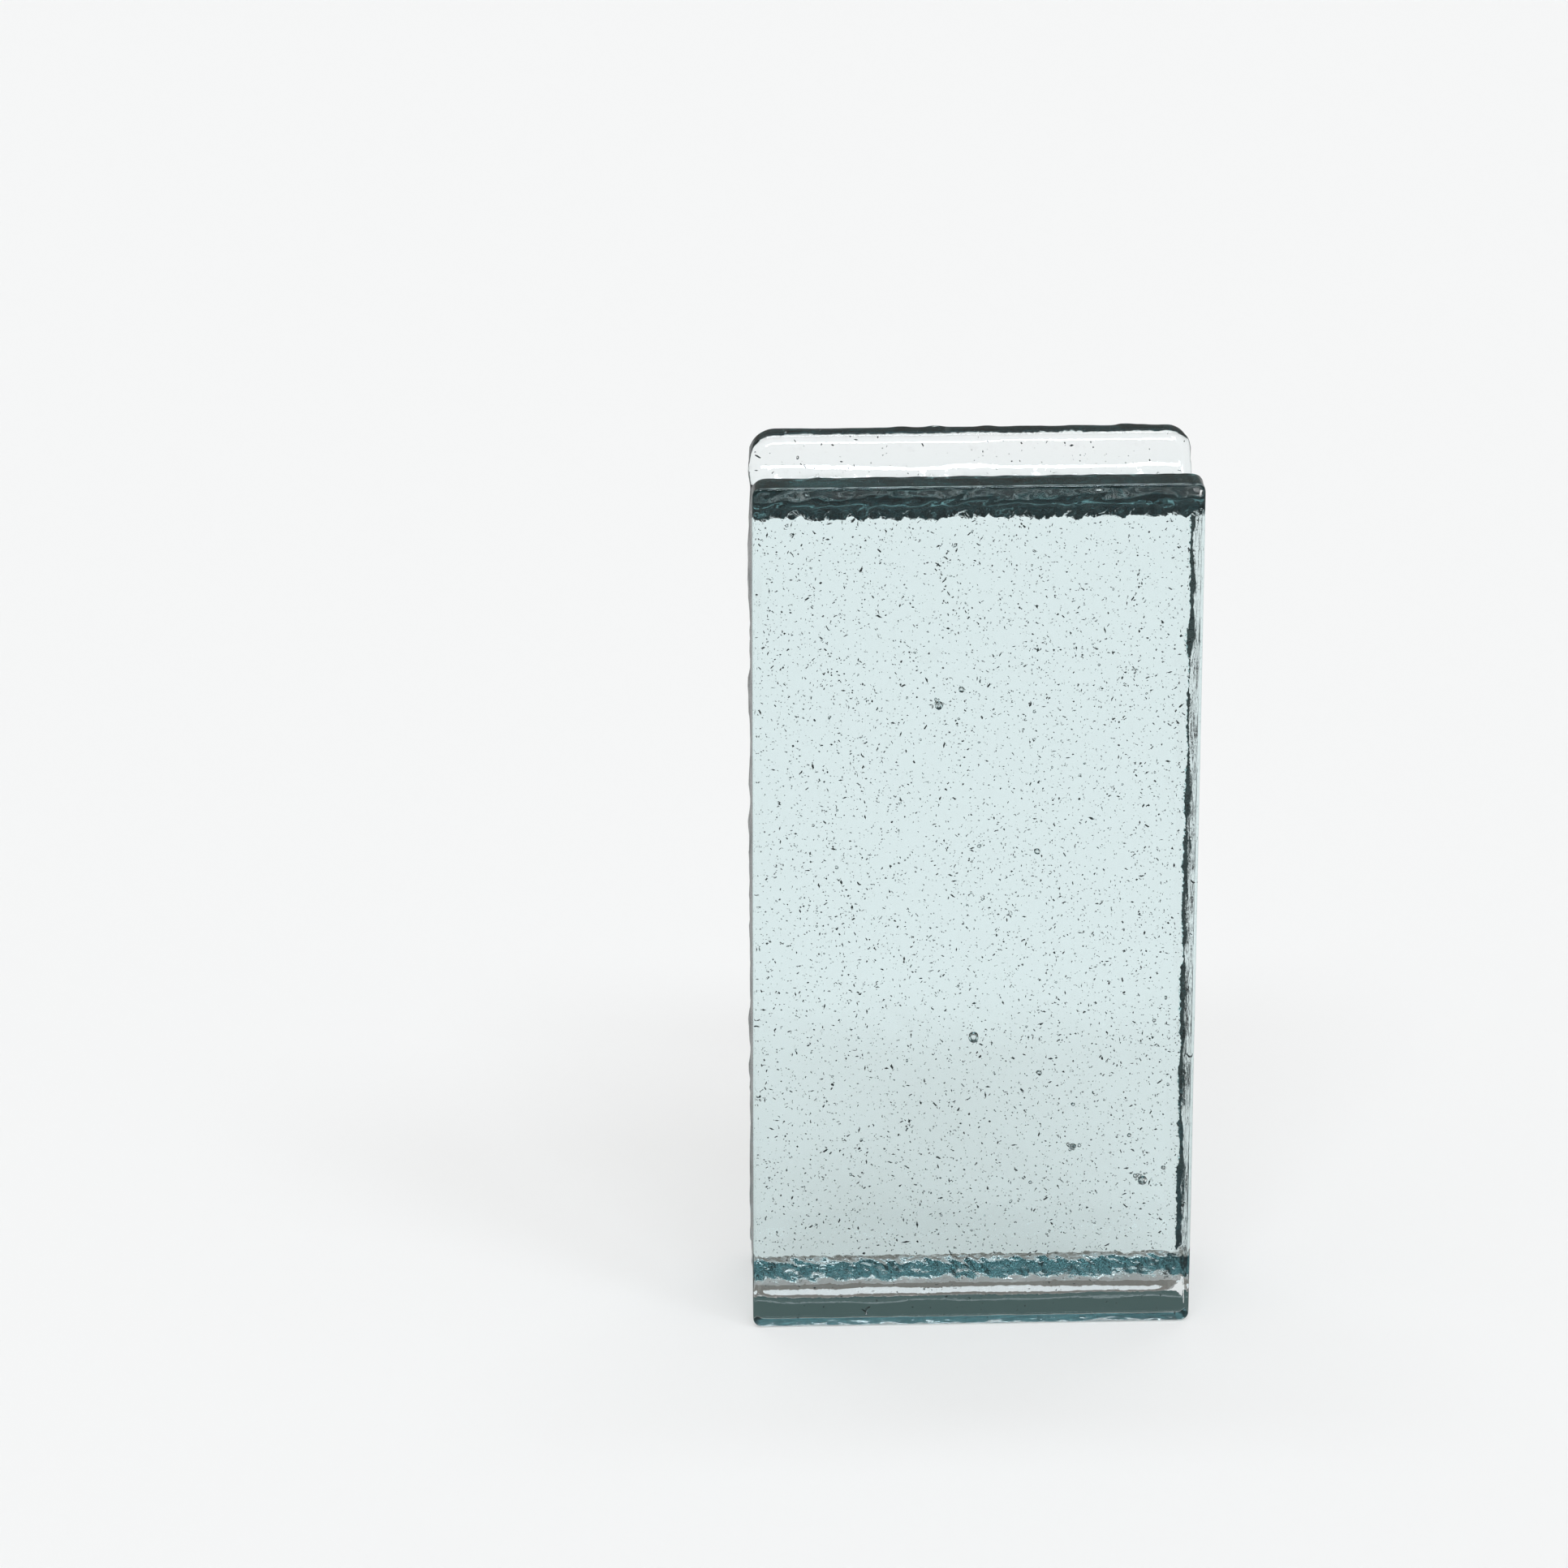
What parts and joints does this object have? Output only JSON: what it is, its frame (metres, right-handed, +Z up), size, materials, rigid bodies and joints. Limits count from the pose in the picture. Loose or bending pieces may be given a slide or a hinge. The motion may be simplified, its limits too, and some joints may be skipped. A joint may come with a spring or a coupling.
{
  "type": "glass block",
  "caption": "Solid cast glass building block with a half-round mortar groove across each end, between crisp front lips and eased back lips.",
  "frame": {"origin": "middle of the foot, on the floor that the block stands on", "axes": "+Z up along the block's length, +Y from the crisp front face to the eased back face, +X across the width"},
  "size_m": [0.117, 0.047, 0.24],
  "materials": {
    "cast_glass": "clear blue-green cast glass, fire-polished, lightly hammered by the mould"
  },
  "bodies": {
    "root": {"glass_block": "cast_glass"}
  },
  "joints": []
}
